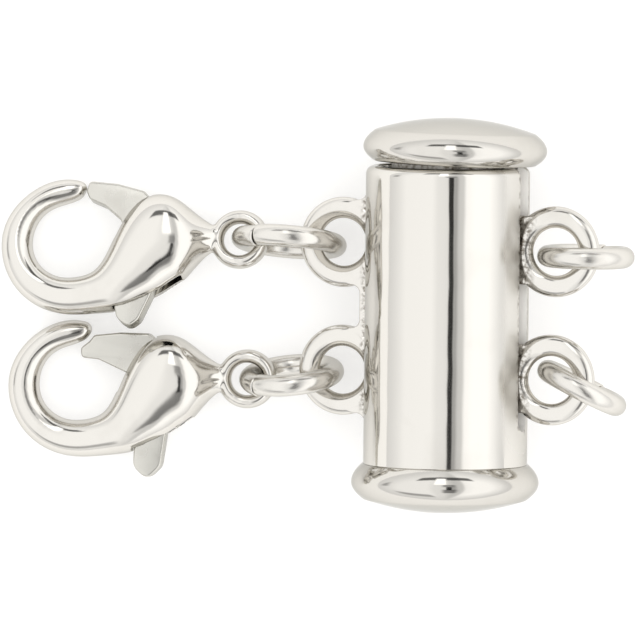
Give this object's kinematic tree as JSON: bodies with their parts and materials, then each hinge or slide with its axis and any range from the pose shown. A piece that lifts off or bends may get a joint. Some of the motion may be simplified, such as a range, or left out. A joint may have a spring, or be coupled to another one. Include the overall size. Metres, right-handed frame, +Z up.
{
  "type": "multi-strand clasp",
  "caption": "Slide-lock tube clasp that keeps necklace strands apart, with loops down both sides, jump rings and sprung lobster claws.",
  "frame": {"origin": "middle of the part's box, on the surface that it lies on", "axes": "+Y along the barrel towards the slide's cap, +X from the claws towards the strand rings, +Z up from the surface"},
  "size_m": [0.0248, 0.0154, 0.0073],
  "materials": {
    "silver_plated_brass": "mirror-polished silver plate"
  },
  "bodies": {
    "barrel": {"barrel": "silver_plated_brass", "ring_claw_upper": "silver_plated_brass", "ring_claw_lower": "silver_plated_brass", "claw_upper": "silver_plated_brass", "claw_lower": "silver_plated_brass", "rivet_upper": "silver_plated_brass", "rivet_lower": "silver_plated_brass"},
    "slide": {"slide": "silver_plated_brass", "ring_strand_upper": "silver_plated_brass", "ring_strand_lower": "silver_plated_brass"},
    "trigger_upper": {"trigger_upper": "silver_plated_brass"},
    "trigger_lower": {"trigger_lower": "silver_plated_brass"}
  },
  "joints": [
    {"name": "slide_out", "type": "slide", "parent": "barrel", "child": "slide", "axis": [0, 1, 0], "range_m": [0, 0.0106]},
    {"name": "trigger_upper_open", "type": "hinge", "parent": "barrel", "child": "trigger_upper", "pos_m": [-0.00607, 0.00311, 0.00152], "axis": [-0.1359, 0.2414, 0.9609], "range_deg": [0, 25], "stiffness_Nm_per_rad": 0.004, "springref_deg": -17.19},
    {"name": "trigger_lower_open", "type": "hinge", "parent": "barrel", "child": "trigger_lower", "pos_m": [-0.00575, -0.00238, 0.00141], "axis": [-0.1052, 0.0683, 0.9921], "range_deg": [0, 25], "stiffness_Nm_per_rad": 0.004, "springref_deg": -17.19}
  ]
}
